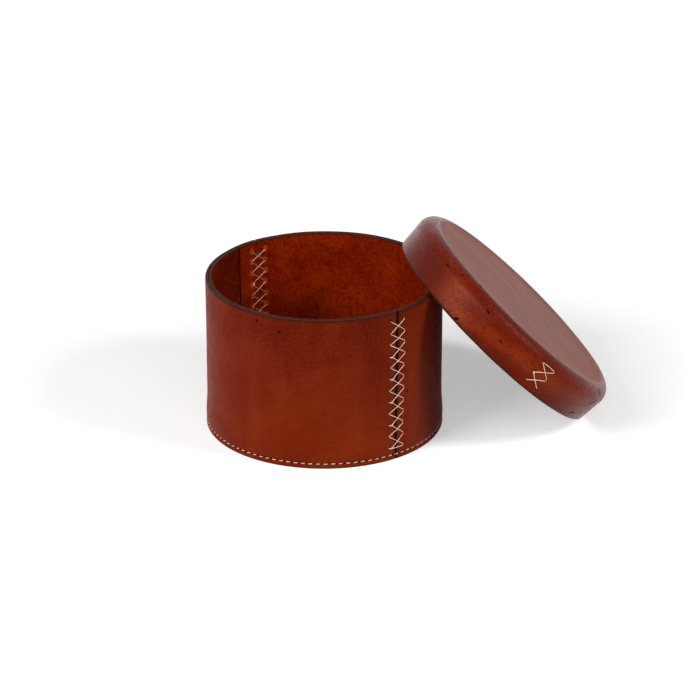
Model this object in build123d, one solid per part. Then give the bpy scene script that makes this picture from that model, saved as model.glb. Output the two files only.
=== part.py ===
from build123d import *
from math import asin, atan2, cos, degrees, hypot, pi, radians, sin, sqrt, tan
import os

# Round leather box with a lift-off lid, in millimetres.
# The origin is the centre of the base on the ground, +Z is up and -Y is the front.
# The lid has been taken off: its low edge stands on the ground at the +X side, and the
# inner edge of its rim leans on the rim of the box at two points.

# Leather
outer_ply = 2.0              # panels of the wall and the cap of the lid
lining_ply = 1.8             # linings of the wall and of the lid
base_ply = 2.2               # pan that makes the floor
glue_line = 0.05             # glue between two plies
edge_round = 0.7             # burnished edges of the plies

# Wall of the box
box_height = 100.0           # ground to rim
rim_radius = 75.2            # outside of the wall, from the rim down to the flare
foot_flare = 0.8             # how far the foot stands out over the flange of the pan
flare_foot = 5.0             # height where the foot has its full radius
flare_top = 24.0             # height where the wall has come back to its own radius
seam_angle = -53.6           # front seam, from +X; the back seam is diametrically opposite
seam_gap = 1.1               # open line between two panels
seam_lean = 0.9              # degrees that both seams lean out of plumb
lining_joint_angle = 139.5   # where the two ends of the lining meet
lining_joint_gap = 0.4

# Pan: the floor of the box, with a turned-down flange that is sewn into the wall
floor_height = 7.4           # ground to the floor inside the box
pan_bend = 3.0               # outer radius between floor and flange

# Cross lacing of the two seams and of the lid, one thread each
lace_thread = 0.6            # waxed thread
lace_width = 11.4            # between the two columns of holes, round the outside of the wall
lace_pitch = 7.78            # between two rows of holes
lace_rim_margin = 6.1        # top row below the rim
lace_foot_margin = 8.3       # bottom row above the ground
crossing_bend = 12.0         # radius of a strand where it passes over another
thread_lay = 0.08            # between a thread and what it lies on
hole_clearance = 0.1         # round the threads in a hole

# Saddle stitch round the foot, two threads in one row of slits
stitch_thread = 0.6
stitch_pitch = 4.77
stitch_height = 3.3          # middle of the row above the ground

# Lid, in its own frame: rim at height 0, top up, +X towards its low end
lid_height = 26.8            # rim to the crest of the shoulder
lid_clearance = 1.15         # between the lining of the lid and the rim of the box, closed
lid_lean = 5.0               # degrees that the skirt leans outwards
lid_shoulder = 9.0           # radius between skirt and top
lid_dish = 1.2               # how far the top lies below the crest of the shoulder
lid_dish_run = 12.0          # width of the slope from the crest to the flat top
lid_lace_angle = -82.9       # middle of the lacing, from the low end
lid_lace_width = 10.9
lid_lace_pitch = 7.65
lid_lace_margin = 5.1        # bottom row above the rim of the lid
lid_lace_rows = 3
lid_lace_lift = 0.2          # what the strands stand off more, to pass over the shoulder

# Where the lid leans
lean_azimuth = 7.25          # direction in which it leans, from +X
lean_half_width = 41.4       # half the distance between the two points that bear on the rim
lean_seat = 0.25             # how far the rounded edges let the lid close in on the rim

wall_total = outer_ply + glue_line + lining_ply
lining_depth = outer_ply + glue_line
pan_depth = wall_total + glue_line
foot_radius = rim_radius + foot_flare
seam_angles = {"front": seam_angle, "back": seam_angle + 180}
overrun = 5.0                # how far a cutting solid passes through the leather


def save(part, name):
    part.label = name
    export_step(part, f"parts/{name}.step")


def turned(section):
    # A section drawn as radius and height, turned once round the axis
    return revolve(Plane.XZ * section, Axis.Z)


def polar(radius, angle, height):
    return Vector(radius * cos(radians(angle)), radius * sin(radians(angle)), height)


def rounded_path(corners, radii):
    # Straight runs through the corners, joined by tangent arcs
    edges = []
    start = corners[0]
    for before, corner, after, radius in zip(corners, corners[1:], corners[2:], radii):
        back = (before - corner).normalized()
        ahead = (after - corner).normalized()
        half = radians(back.get_angle(ahead)) / 2
        enter = corner + back * (radius / tan(half))
        leave = corner + ahead * (radius / tan(half))
        middle = corner + (back + ahead).normalized() * (radius / sin(half) - radius)
        edges += [Line(start, enter), ThreePointArc(enter, middle, leave)]
        start = leave
    edges.append(Line(start, corners[-1]))
    return Wire(edges)


def thread_along(corners, radii, diameter):
    path = rounded_path(corners, radii)
    end = Plane(origin=path @ 0, z_dir=path % 0)
    return sweep(end * Circle(diameter / 2), path=path)


# Wall of the box

def s_curve(foot, top):
    # Two equal arcs that leave both points upright
    middle = ((foot[0] + top[0]) / 2, (foot[1] + top[1]) / 2)
    lower = TangentArc(foot, middle, tangent=(0, 1))
    upper = TangentArc(top, middle, tangent=(0, -1))
    return [lower, upper]


def wall_line(depth):
    # Section of one face of the wall, from the ground to the rim, at a depth from the outside
    foot = foot_radius - depth
    top = rim_radius - depth
    foot_line = Line((foot, 0), (foot, flare_foot))
    upper_line = Line((top, flare_top), (top, box_height))
    return [foot_line] + s_curve((foot, flare_foot), (top, flare_top)) + [upper_line]


def wall_radius(height):
    # Outside radius of the wall at a height
    if height >= flare_top:
        return rim_radius
    if height <= flare_foot:
        return foot_radius
    half = (flare_top - flare_foot) / 2
    arc = (half ** 2 + (foot_flare / 2) ** 2) / foot_flare
    if height > flare_foot + half:
        return rim_radius + arc - sqrt(arc ** 2 - (flare_top - height) ** 2)
    return foot_radius - arc + sqrt(arc ** 2 - (height - flare_foot) ** 2)


def wall_ply(depth, thickness):
    # One ply of the wall as a whole ring with burnished edges
    inner = depth + thickness
    foot = Line((foot_radius - inner, 0), (foot_radius - depth, 0))
    rim = Line((rim_radius - inner, box_height), (rim_radius - depth, box_height))
    section = make_face(wall_line(depth) + wall_line(inner) + [foot, rim])
    corners = section.vertices().group_by(Axis.Y)
    section = fillet(corners[-1] + corners[0], edge_round)
    return turned(section)


def seam_slab(angle, gap, lean):
    slab = Box(rim_radius, gap, 2 * box_height)
    return Rot(0, 0, angle) * Pos(rim_radius, 0, box_height / 2) * Rot(-lean, 0, 0) * slab


def seam_point(angle, across, height, depth):
    # A place beside a leaning seam; across is measured round the outside of the wall
    off = across + (height - box_height / 2) * tan(radians(seam_lean))
    return polar(wall_radius(height) - depth, angle + degrees(off / rim_radius), height)


# Lacing

def row_places(first, last, pitch):
    gaps = max(1, round(abs(last - first) / pitch))
    return [first + (last - first) * gap / gaps for gap in range(gaps + 1)]


def leg_offset(width, pitch):
    # Two threads pass through one hole, one above the other, clear of each other's strands
    slope = atan2(pitch, width)
    return (lace_thread + thread_lay) / 2 / cos(slope)


def lace_holes(place, width, rows):
    # Awl slits for two threads. place(across, along, depth) is a place in the leather.
    offset = leg_offset(width, abs(rows[1] - rows[0]))
    wide = lace_thread + 2 * hole_clearance
    outline = SlotOverall(wide + 2 * offset, wide)
    holes = []
    for row in rows:
        for column in (-width / 2, width / 2):
            mouth = place(column, row, -overrun)
            through = place(column, row, wall_total + overrun) - mouth
            tall = place(column, row + offset, 0) - place(column, row - offset, 0)
            plane = Plane(origin=mouth, x_dir=tall, z_dir=through)
            holes.append(extrude(plane * outline, through.length))
    return holes


def lacing(place, width, rows, lift=0.0):
    # One thread laced up and down each column pair, changing side at every row and face at
    # every hole. The last row is closed by a bar on the outside, and both ends hang inside.
    offset = leg_offset(width, abs(rows[1] - rows[0]))
    upward = 1 if rows[0] > rows[-1] else -1
    last = len(rows) - 1
    trip = list(range(last, 0, -1)) + list(range(last + 1))
    holes = [(row, -1 if row % 2 == 0 else 1) for row in trip]
    holes += [(row, -side) for row, side in holes]
    lay = lace_thread / 2 + thread_lay + lift
    cross_lay = lay + lace_thread + thread_lay
    hole_bend = lace_thread / 2 + thread_lay / 2

    def leg(index):
        # Height of the thread in a hole, set by the row that its outside strand goes to
        row, side = holes[index]
        other = index + 1 if index % 2 == 0 else index - 1
        above = holes[other][0] < row
        return rows[row] + (offset if above else -offset) * upward

    corners = [place(holes[0][1] * width / 2, leg(0), wall_total + cross_lay)]
    radii = []
    for index in range(len(holes) - 1):
        row, side = holes[index]
        next_row, next_side = holes[index + 1]
        outside = index % 2 == 0
        over = (next_row - row) * side > 0
        end_lay = cross_lay if over and not outside else lay
        middle_lay = cross_lay if over else lay
        depths = [-value if outside else wall_total + value for value in (end_lay, middle_lay)]
        start, end = leg(index), leg(index + 1)
        corners.append(place(side * width / 2, start, depths[0]))
        if next_row != row:
            corners.append(place(0, (start + end) / 2, depths[1]))
        else:
            corners.append(place(0, start, depths[0]))
        corners.append(place(next_side * width / 2, end, depths[0]))
        radii += [hole_bend, crossing_bend, hole_bend]
    corners.append(place(holes[-1][1] * width / 2, leg(len(holes) - 1), wall_total + cross_lay))
    return thread_along(corners, radii, lace_thread)


# Saddle stitch

def stitch_count():
    return 2 * round(pi * foot_radius / stitch_pitch)


def slit_angle(hole):
    # The seams lie in the middle of a stitch
    step = 360 / stitch_count()
    return seam_angle + (hole + 0.5) * step


def saddle_thread(phase):
    # Outside on every other stitch and inside between them. It comes out at the low end of
    # a slit and goes in at the high end of the next. Both ends are cut off inside the wall.
    rise = (stitch_thread + thread_lay) / 2
    outside = foot_radius + stitch_thread / 2 + thread_lay
    inside = foot_radius - pan_depth - base_ply - stitch_thread / 2 - thread_lay
    end_gap = stitch_thread / 2
    corners = []
    for hole in range(stitch_count() + 1):
        comes_out = (hole + phase) % 2 == 0
        height = stitch_height - rise if comes_out else stitch_height + rise
        order = (inside, outside) if comes_out else (outside, inside)
        corners += [polar(radius, slit_angle(hole), height) for radius in order]
    middle = (inside + outside) / 2
    toward = end_gap if phase % 2 == 0 else -end_gap
    corners[0] = polar(middle + toward, slit_angle(0), corners[0].Z)
    corners[-1] = polar(middle - toward, slit_angle(0), corners[-1].Z)
    bend = stitch_thread / 2 + thread_lay / 2
    return thread_along(corners, [bend] * (len(corners) - 2), stitch_thread)


def stitch_slits():
    wide = stitch_thread + 2 * hole_clearance
    tall = wide + stitch_thread + thread_lay
    deep = pan_depth + base_ply + 2 * overrun
    slit = extrude(SlotOverall(tall, wide), deep)
    start = Pos(foot_radius + overrun, 0, stitch_height) * Rot(0, -90, 0)
    return [Rot(0, 0, slit_angle(hole)) * start * slit for hole in range(stitch_count())]


# Lid

lean = radians(lid_lean)
lid_bore = rim_radius + lid_clearance
lid_rim_radius = lid_bore + wall_total / cos(lean)
shoulder_height = lid_height - lid_shoulder
shoulder_radius = lid_rim_radius + shoulder_height * tan(lean) - lid_shoulder / cos(lean)
skirt_length = (shoulder_height - lid_shoulder * sin(lean)) / cos(lean)


def lid_section(depth, thickness):
    # Section of one moulded ply: skirt, shoulder, crest and dished top, from rim to axis
    dish_arc = (lid_dish_run ** 2 + lid_dish ** 2) / (4 * lid_dish)
    half_dish = asin(lid_dish_run / 2 / dish_arc)
    flat_edge = shoulder_radius - lid_dish_run

    def face(at):
        rim = (lid_rim_radius - at / cos(lean), 0)
        turn = lid_shoulder - at
        skirt_top = (shoulder_radius + turn * cos(lean), shoulder_height - turn * sin(lean))
        on_turn = (shoulder_radius + turn * sqrt(0.5), shoulder_height + turn * sqrt(0.5))
        crest = (shoulder_radius, lid_height - at)
        inflection = (
            shoulder_radius - (dish_arc - at) * sin(half_dish),
            lid_height - dish_arc + (dish_arc - at) * cos(half_dish),
        )
        flat = (flat_edge, lid_height - lid_dish - at)
        return [
            Line(rim, skirt_top),
            ThreePointArc(skirt_top, on_turn, crest),
            TangentArc(crest, inflection, tangent=(-1, 0)),
            TangentArc(flat, inflection, tangent=(1, 0)),
            Line(flat, (0, flat[1])),
        ]

    outer = face(depth)
    inner = face(depth + thickness)
    rim = Line(outer[0] @ 0, inner[0] @ 0)
    axis = Line(outer[-1] @ 1, inner[-1] @ 1)
    section = make_face(outer + inner + [rim, axis])
    return fillet(section.vertices().group_by(Axis.Y)[0], edge_round)


def lid_point(across, along, depth):
    # A place in the skirt of the lid; along is measured on the skin from the rim
    turned_by = lean if along <= skirt_length else lean - (along - skirt_length) / lid_shoulder
    if along <= skirt_length:
        radius = lid_rim_radius + along * sin(lean)
        height = along * cos(lean)
    else:
        radius = shoulder_radius + lid_shoulder * cos(turned_by)
        height = shoulder_height - lid_shoulder * sin(turned_by)
    angle = lid_lace_angle + degrees(across / lid_rim_radius)
    return polar(radius - depth * cos(turned_by), angle, height + depth * sin(turned_by))


def lid_place():
    # The rounded edge of the rim touches the ground, and the bore crosses the rim of the box
    # at two points, lean_half_width to each side
    bore_reach = sqrt(lid_bore ** 2 - lean_half_width ** 2)
    rim_reach = sqrt(rim_radius ** 2 - lean_half_width ** 2)
    round_centre = lid_rim_radius - edge_round / tan((pi / 2 - lean) / 2)
    reach = round_centre + bore_reach
    tilt = asin((box_height - edge_round) / hypot(reach, edge_round)) + atan2(edge_round, reach)
    out = rim_reach + bore_reach * cos(tilt) - lean_seat
    up = round_centre * sin(tilt) - edge_round * cos(tilt) + edge_round
    normal = polar(sin(tilt), lean_azimuth, cos(tilt))
    downhill = polar(cos(tilt), lean_azimuth, -sin(tilt))
    return Plane(origin=polar(out, lean_azimuth, up), x_dir=downhill, z_dir=normal).location


# Box

os.makedirs("parts", exist_ok=True)

lace_rows = row_places(box_height - lace_rim_margin, lace_foot_margin, lace_pitch)
wall_holes = stitch_slits()
for side, angle in seam_angles.items():
    def beside_seam(across, height, depth, angle=angle):
        return seam_point(angle, across, height, depth)

    wall_holes += lace_holes(beside_seam, lace_width, lace_rows)
    save(lacing(beside_seam, lace_width, lace_rows), f"{side}_seam_lacing")

outer_wall = wall_ply(0, outer_ply)
for angle in seam_angles.values():
    outer_wall -= seam_slab(angle, seam_gap, seam_lean)
outer_wall -= wall_holes
panels = outer_wall.solids().sort_by(Axis((0, 0, 0), (1, 1, 0)))
save(Part(panels[0].wrapped), "outer_wall_front")
save(Part(panels[-1].wrapped), "outer_wall_back")

lining = wall_ply(lining_depth, lining_ply)
lining -= seam_slab(lining_joint_angle, lining_joint_gap, 0)
save(lining - wall_holes, "wall_lining")

flange_radius = foot_radius - pan_depth
bend_centre = (flange_radius - pan_bend, floor_height - pan_bend)
inner_bend = pan_bend - base_ply
pan_outside = [
    Line((flange_radius, 0), (flange_radius, bend_centre[1])),
    TangentArc((flange_radius, bend_centre[1]), (bend_centre[0], floor_height), tangent=(0, 1)),
    Line((bend_centre[0], floor_height), (0, floor_height)),
]
pan_inside = [
    Line((flange_radius - base_ply, 0), (flange_radius - base_ply, bend_centre[1])),
    TangentArc(
        (flange_radius - base_ply, bend_centre[1]),
        (bend_centre[0], bend_centre[1] + inner_bend),
        tangent=(0, 1),
    ),
    Line((bend_centre[0], bend_centre[1] + inner_bend), (0, bend_centre[1] + inner_bend)),
]
pan_ends = [
    Line((flange_radius - base_ply, 0), (flange_radius, 0)),
    Line((0, floor_height - base_ply), (0, floor_height)),
]
pan_section = make_face(pan_outside + pan_inside + pan_ends)
pan_section = fillet(pan_section.vertices().group_by(Axis.Y)[0], edge_round)
save(turned(pan_section) - stitch_slits(), "base_pan")

save(Part(children=[saddle_thread(phase) for phase in (0, 1)]), "base_stitching")

# Lid

lid_rows = [lid_lace_margin + row * lid_lace_pitch for row in range(lid_lace_rows)]
lid_holes = lace_holes(lid_point, lid_lace_width, lid_rows)
leaned = lid_place()
save(leaned * (turned(lid_section(0, outer_ply)) - lid_holes), "lid_cap")
save(leaned * (turned(lid_section(lining_depth, lining_ply)) - lid_holes), "lid_lining")
save(leaned * lacing(lid_point, lid_lace_width, lid_rows, lid_lace_lift), "lid_lacing")
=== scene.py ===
import math

import bpy
import numpy as np
from mathutils import Matrix, Vector


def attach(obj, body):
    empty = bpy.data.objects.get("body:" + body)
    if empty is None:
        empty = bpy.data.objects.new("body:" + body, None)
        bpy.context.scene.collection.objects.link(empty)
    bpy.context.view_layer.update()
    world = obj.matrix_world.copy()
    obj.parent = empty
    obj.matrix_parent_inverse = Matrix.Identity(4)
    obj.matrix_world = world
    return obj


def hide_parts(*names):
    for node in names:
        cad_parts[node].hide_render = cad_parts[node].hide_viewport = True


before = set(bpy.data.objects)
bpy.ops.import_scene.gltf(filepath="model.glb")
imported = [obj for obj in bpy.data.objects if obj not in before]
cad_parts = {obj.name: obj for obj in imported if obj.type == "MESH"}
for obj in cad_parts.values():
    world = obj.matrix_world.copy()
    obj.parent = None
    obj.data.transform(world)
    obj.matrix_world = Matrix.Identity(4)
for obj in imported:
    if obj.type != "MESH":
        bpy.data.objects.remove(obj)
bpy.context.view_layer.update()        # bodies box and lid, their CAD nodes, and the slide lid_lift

# A round leather box with its lid off and leaning on the rim. +Z is up and -Y is the front.
# The pieces are worked out in millimetres, and makeMesh turns them into metres.
mm = 0.001


# Leather and sizes shared by the pieces

leather = {
    "outerPly": 2.0,             # panels of the wall and the cap of the lid
    "liningPly": 1.8,
    "basePly": 2.2,
    "glueLine": 0.05,
    "edgeRound": 0.7,            # burnished edges
    "burnishRim": 1.0,           # how far their dark dye reaches down from the rim
    "burnishFoot": 0.8,          # and up from the ground
    "burnishBlur": 0.5,
}
wall = {
    "height": 100.0,
    "rimRadius": 75.2,
    "footFlare": 0.8,
    "flareFoot": 5.0,
    "flareTop": 24.0,
    "seamAngle": -53.6,          # front seam in degrees from +X; the back seam is opposite
    "seamGap": 1.1,
    "seamLean": 0.9,             # degrees out of plumb
    # seamBlack: how far the painted black shade in the gap reaches in from them
    "seamRound": 0.35,           # softened edges along the seams
    "seamDark": 0.6,             # how far the dark dye reaches in from them
    "seamBlack": 0.3,
    "jointAngle": 139.5,         # where the ends of the lining meet
    "jointGap": 0.45,
    "waver": 0.16,               # how far the hand-made wall wanders, above the stitched foot
    "waverFrom": 6.0,
    "waverRun": 24.0,
    "rimWaver": 0.22,            # how far the hand-cut rim rises and falls
    "footBand": 6.6,             # top of the foot, which has finer columns
    "footBandGap": 0.6,
    "footPucker": 0.12,          # how far the leather is drawn in round a slit of the foot
    "lacePucker": 0.25,          # and of the lacing
    "lip": 0.35,                 # how far the lips of the holes stand up inside
}
steps = {                        # finest and coarsest step of a mesh, and the reach of the finest
    "roundWall": (0.2, 1.6, 0.9),
    "upWall": (0.22, 1.5, 0.9),
    "roundFoot": (0.17, 0.8, 0.8),
    "upFoot": (0.16, 0.7, 0.8),
    "roundLid": (0.2, 1.5, 0.9),
    "upSkirt": (0.22, 1.2, 0.9),
    "crest": (0.16, 0.5, 0.5),
    "probe": 0.04,               # how closely the steps are worked out
}
wallTotal = leather["outerPly"] + leather["glueLine"] + leather["liningPly"]
liningDepth = leather["outerPly"] + leather["glueLine"]
footRadius = wall["rimRadius"] + wall["footFlare"]
wallRound = 2 * math.pi * wall["rimRadius"]


def smooth(value):
    value = np.clip(value, 0, 1)
    return value * value * (3 - 2 * value)


def bell(off, width):
    return np.exp(-np.square(off / width))


def makeWaves(seed, count, turns, along, drop=0.7):
    # Slow waves round and along a turned piece: at most turns waves round it, and along is the
    # quickest change along it, in radians a millimetre
    draw = np.random.default_rng(seed)
    waves = [(draw.integers(1, turns + 1), draw.uniform(-along, along),
              draw.uniform(0, 2 * math.pi), drop ** index) for index in range(count)]
    total = sum(wave[3] for wave in waves)

    def waveAt(angle, height=0):
        return sum(share * np.sin(around * angle + up * height + phase)
                   for around, up, phase, share in waves) / total

    return waveAt


wallWave = makeWaves(11, 9, 7, 0.09)
rimWave = makeWaves(12, 10, 17, 0)
lidWave = makeWaves(13, 9, 6, 0.12)
lidRimWave = makeWaves(14, 12, 23, 0)
raggedWave = makeWaves(15, 10, 160, 0, drop=0.9)
panWave = makeWaves(16, 8, 5, 0.06)
creaseWave = makeWaves(17, 8, 30, 0)


def wallRadius(height):
    # Outside of the wall: upright, with a flared foot
    height = np.asarray(height, float)
    bend = (wall["flareTop"] - wall["flareFoot"]) / 2
    arc = (bend ** 2 + (wall["footFlare"] / 2) ** 2) / wall["footFlare"]
    below = np.clip(wall["flareTop"] - height, 0, bend)
    above = np.clip(height - wall["flareFoot"], 0, bend)
    upper = wall["rimRadius"] + arc - np.sqrt(arc ** 2 - below ** 2)
    lower = footRadius - arc + np.sqrt(arc ** 2 - above ** 2)
    return np.where(height > wall["flareFoot"] + bend, upper, lower)


def seamShear(height):
    # How far round the leaning seams have moved at a height
    return (height - wall["height"] / 2) * math.tan(math.radians(wall["seamLean"]))


def stitchPull(height):
    # How far the foot stitches draw the wall and the flange in
    return stitching["pull"] * bell(height - stitching["height"], stitching["pullWide"])


def wallPoint(arc, height, depth):
    # A place in the wall. arc runs round the outside from the front seam and follows its lean.
    arc, height, depth = np.broadcast_arrays(arc, height, depth)
    angle = math.radians(wall["seamAngle"]) + (arc + seamShear(height)) / wall["rimRadius"]
    free = smooth((height - wall["waverFrom"]) / wall["waverRun"])
    radius = wallRadius(height) - depth + wall["waver"] * wallWave(angle, height) * free
    radius = radius - stitchPull(height)
    rise = wall["rimWaver"] * rimWave(angle) * smooth(height / wall["height"] * 2 - 1)
    return np.stack([radius * np.cos(angle), radius * np.sin(angle), height + rise], -1)


def gradedSteps(start, end, places, kind):
    # Steps from start to end, fine near the given places and coarse away from them
    fine, coarse, reach = steps[kind]
    probe = np.linspace(start, end, int((end - start) / steps["probe"]) + 2)
    away = np.min([np.abs(probe - place) for place in places], axis=0)
    rate = 1 / (fine + (coarse - fine) * smooth((away - reach) / (2 * reach)))
    count = np.concatenate([[0], np.cumsum((rate[1:] + rate[:-1]) / 2 * np.diff(probe))])
    total = max(2, int(round(count[-1])))
    return np.interp(np.linspace(0, count[-1], total + 1), count, probe)


# Meshes of turned leather: bands of rings, each band with its own number of columns

paintNames = ("burnish", "slit", "lip", "tan", "deep", "crown")


def joinRings(low, high, turn):
    # Faces between two rings; a ring is its places round the piece and its vertex numbers
    (lowArcs, lowNumbers), (highArcs, highNumbers) = closeRing(low, turn), closeRing(high, turn)
    lowLast, highLast = len(lowNumbers) - 1, len(highNumbers) - 1
    if lowLast == highLast:
        return list(zip(lowNumbers, lowNumbers[1:], highNumbers[1:], highNumbers))
    faces = []
    i = j = 0
    while i < lowLast or j < highLast:
        if j == highLast or (i < lowLast and lowArcs[i + 1] <= highArcs[j + 1]):
            faces.append((lowNumbers[i], lowNumbers[i + 1], highNumbers[j]))
            i += 1
        else:
            faces.append((lowNumbers[i], highNumbers[j + 1], highNumbers[j]))
            j += 1
    return faces


def closeRing(ring, turn):
    # turn is the length of once round, or 0 for an open strip; a single vertex is a pole
    arcs, numbers = ring
    if not turn or len(numbers) == 1:
        return arcs, numbers
    return np.append(arcs, arcs[0] + turn), np.append(numbers, numbers[0])


def buildShell(name, bands, turn=0.0):
    # bands: list of (arcs, places, skin, paint), rows x columns; skin is the place in the flat leather
    points, skins, rings, used = [], [], [], 0
    paint = {key: [] for key in paintNames}
    for arcs, places, skin, values in bands:
        rows, columns = places.shape[:2]
        for row in range(rows):
            rings.append((arcs, np.arange(used, used + columns)))
            used += columns
        points.append(places.reshape(-1, 3))
        skins.append(skin.reshape(-1, 3))
        for key in paintNames:
            paint[key].append(np.broadcast_to(values.get(key, 0.0), (rows, columns)).reshape(-1))
    faces = []
    for low, high in zip(rings, rings[1:] + rings[:1]):
        faces += joinRings(low, high, turn)
    if not turn:
        faces.append([numbers[0] for arcs, numbers in rings])
        faces.append([numbers[-1] for arcs, numbers in reversed(rings)])
    faces = [face for face in faces if len(set(face)) > 2]
    paint = {key: np.concatenate(value) for key, value in paint.items()}
    return makeMesh(name, np.concatenate(points), faces, paint, np.concatenate(skins))


def makeMesh(name, points, faces, paint=None, skin=None, sharpAngle=50):
    # Points and skin in millimetres
    mesh = bpy.data.meshes.new(name)
    points = np.asarray(points) * mm
    mesh.from_pydata(points.tolist(), [], [tuple(int(v) for v in face) for face in faces])
    for key, values in (paint or {}).items():
        layer = mesh.attributes.new(key, "FLOAT", "POINT")
        layer.data.foreach_set("value", np.asarray(values, np.float32))
    layer = mesh.attributes.new("skin", "FLOAT_VECTOR", "POINT")
    places = points if skin is None else skin * mm
    layer.data.foreach_set("vector", np.asarray(places, np.float32).reshape(-1))
    mesh.polygons.foreach_set("use_smooth", [True] * len(mesh.polygons))
    mesh.set_sharp_from_angle(angle=math.radians(sharpAngle))
    mesh.update()
    piece = bpy.data.objects.new(name, mesh)
    bpy.context.scene.collection.objects.link(piece)
    return piece


def roundCorner(x, y, radius, start, end, count=6):
    # Places on an arc of a section, from start to end in degrees
    return [(x + radius * math.cos(a), y + radius * math.sin(a))
            for a in np.radians(np.linspace(start, end, count))]


def patchField(arcs, heights, clouds):
    # Soft patches of colour: (arc, height, half width, half height, strength)
    value = np.zeros((len(heights), len(arcs)))
    for arc, height, wide, tall, strength in clouds:
        off = (np.asarray(arcs)[None, :] - arc) / wide
        up = (np.asarray(heights)[:, None] - height) / tall
        value = value + strength * np.exp(-off ** 2 - up ** 2)
    return np.clip(value, 0, 1)


# Lacing holes and foot slits, shared by the leather and the thread

awl = {
    "deep": 1.5,                 # how deep the slits are modelled
    "edge": 0.22,                # width of a slit's broken edge
    "puckerWide": 1.2,           # reach of the leather that is drawn in round a slit
    "lipAt": 0.55,               # raised lip: how far from the slit, and how wide
    "lipWide": 0.45,
    "darkFrom": 0.12,            # painted black shade inside the slit: where it starts outside, and its blur
    "darkBlur": 0.3,
    "paleAndHighlightFrom": 0.3,            # stretched, paler leather round the slit, partly a painted highlight where the raised lip catches the light
    "paleAndHighlightWide": 0.8,
    "window": 5.0,               # how far from a slit its marks are worked out
    "farOff": 1000.0,            # where no slit is near
}
lacing = {
    "rows": 12,
    "rimMargin": 6.1,            # top row below the rim
    "footMargin": 8.3,           # bottom row above the ground
    "width": 11.4,               # between the two columns of holes
    "thread": 0.40,
    "frontShift": 0.8,           # the front lacing sits right of its seam
    "jitterUp": 0.28,            # how far the hand-made holes stray
    "jitterAcross": 0.20,
    "share": 0.26,               # how far apart two threads pass through one slit
    "tailShare": 0.35,           # how much of that is left where they share their way to it
    "tail": 2.2,                 # length of that way
    "tailOff": 0.10,
    "slitHalf": 0.38,            # upright half of a slit, and the radius of its outline
    "slitRound": 0.42,
}
stitching = {
    "count": 100,
    "thread": 0.45,
    "height": 3.3,
    "rise": 0.2,                 # each stitch slants up to the right
    "jitter": 0.05,
    "lay": -0.45,                # how far the thread stands off, in radii: it is pulled in
    "dive": 1.1,                 # how deep its ends go
    "pull": 0.3,                 # how far the stitches draw the leather in, and how widely
    "pullWide": 1.1,
    "slitHalf": 0.72,            # the pulled-open slits, along the row
    "slitTall": 0.1,
    "slitRound": 0.36,
    "margin": 0.3,               # no slit is nearer to a seam
}


def slitField(arcs, heights, slits):
    # How far each place of a band lies inside the nearest slit's outline; negative outside
    inside = np.full((len(heights), len(arcs)), -awl["farOff"])
    for slit in slits:
        near = slice(*np.searchsorted(arcs, [slit["arc"] - awl["window"], slit["arc"] + awl["window"]]))
        across = np.maximum(np.abs(arcs[near][None, :] - slit["arc"]) - slit["halfWide"], 0)
        up = np.maximum(np.abs(heights[:, None] - slit["height"]) - slit["halfTall"], 0)
        inside[:, near] = np.maximum(inside[:, near], slit["round"] - np.hypot(across, up))
    return inside


def slitMarks(inside, pucker, lipHigh=0.0):
    # Round the slits: how far the leather sinks, the painted black shade inside the slits, and the paler
    # paint of their lips, which is partly a painted highlight
    away = np.maximum(-inside, 0)
    sink = awl["deep"] * smooth(inside / awl["edge"] + 0.5) + pucker * bell(away, awl["puckerWide"])
    sink -= lipHigh * bell(inside + awl["lipAt"], awl["lipWide"])
    return sink, {"slit": smooth((inside + awl["darkFrom"]) / awl["darkBlur"]),
                  "lip": bell(np.maximum(away - awl["paleAndHighlightFrom"], 0), awl["paleAndHighlightWide"])}


def lacingHoles(seed, centre, rowPlaces, width, stray=1.0):
    # {(row, side): (across, along)} for both columns
    draw = np.random.default_rng(seed)
    holes = {}
    for row, along in enumerate(rowPlaces):
        for side in (-1, 1):
            holes[row, side] = (
                centre + side * width / 2 + draw.normal() * stray * lacing["jitterAcross"],
                along + draw.normal() * stray * lacing["jitterUp"])
    return holes


def slitsOf(holes):
    return [{"arc": arc, "height": along, "halfWide": 0.0, "halfTall": lacing["slitHalf"],
             "round": lacing["slitRound"]} for arc, along in holes.values()]


def footSlits():
    # The slits stand upright round the foot, so the lean of the seams is taken off here
    return [{"arc": ((hole + 0.5) * wallRound / stitching["count"] - seamShear(stitching["height"]))
             % wallRound, "height": stitching["height"], "halfTall": stitching["slitTall"],
             "halfWide": stitching["slitHalf"] - stitching["slitRound"],
             "round": stitching["slitRound"]} for hole in range(stitching["count"])]


def within(slits, ends, margin=0.0):
    # Slits of a strip, which may run once more round than the slits' own places
    both = [dict(slit, arc=slit["arc"] + turn) for turn in (0, wallRound, -wallRound) for slit in slits]
    return [slit for slit in both if ends[0] + margin < slit["arc"] < ends[1] - margin]


laceRows = np.linspace(wall["height"] - lacing["rimMargin"], lacing["footMargin"], lacing["rows"])
frontHoles = lacingHoles(21, lacing["frontShift"], laceRows, lacing["width"])
backHoles = lacingHoles(22, wallRound / 2, laceRows, lacing["width"])
wallSlits = slitsOf(frontHoles) + slitsOf(backHoles)


# Wall of the box

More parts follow.
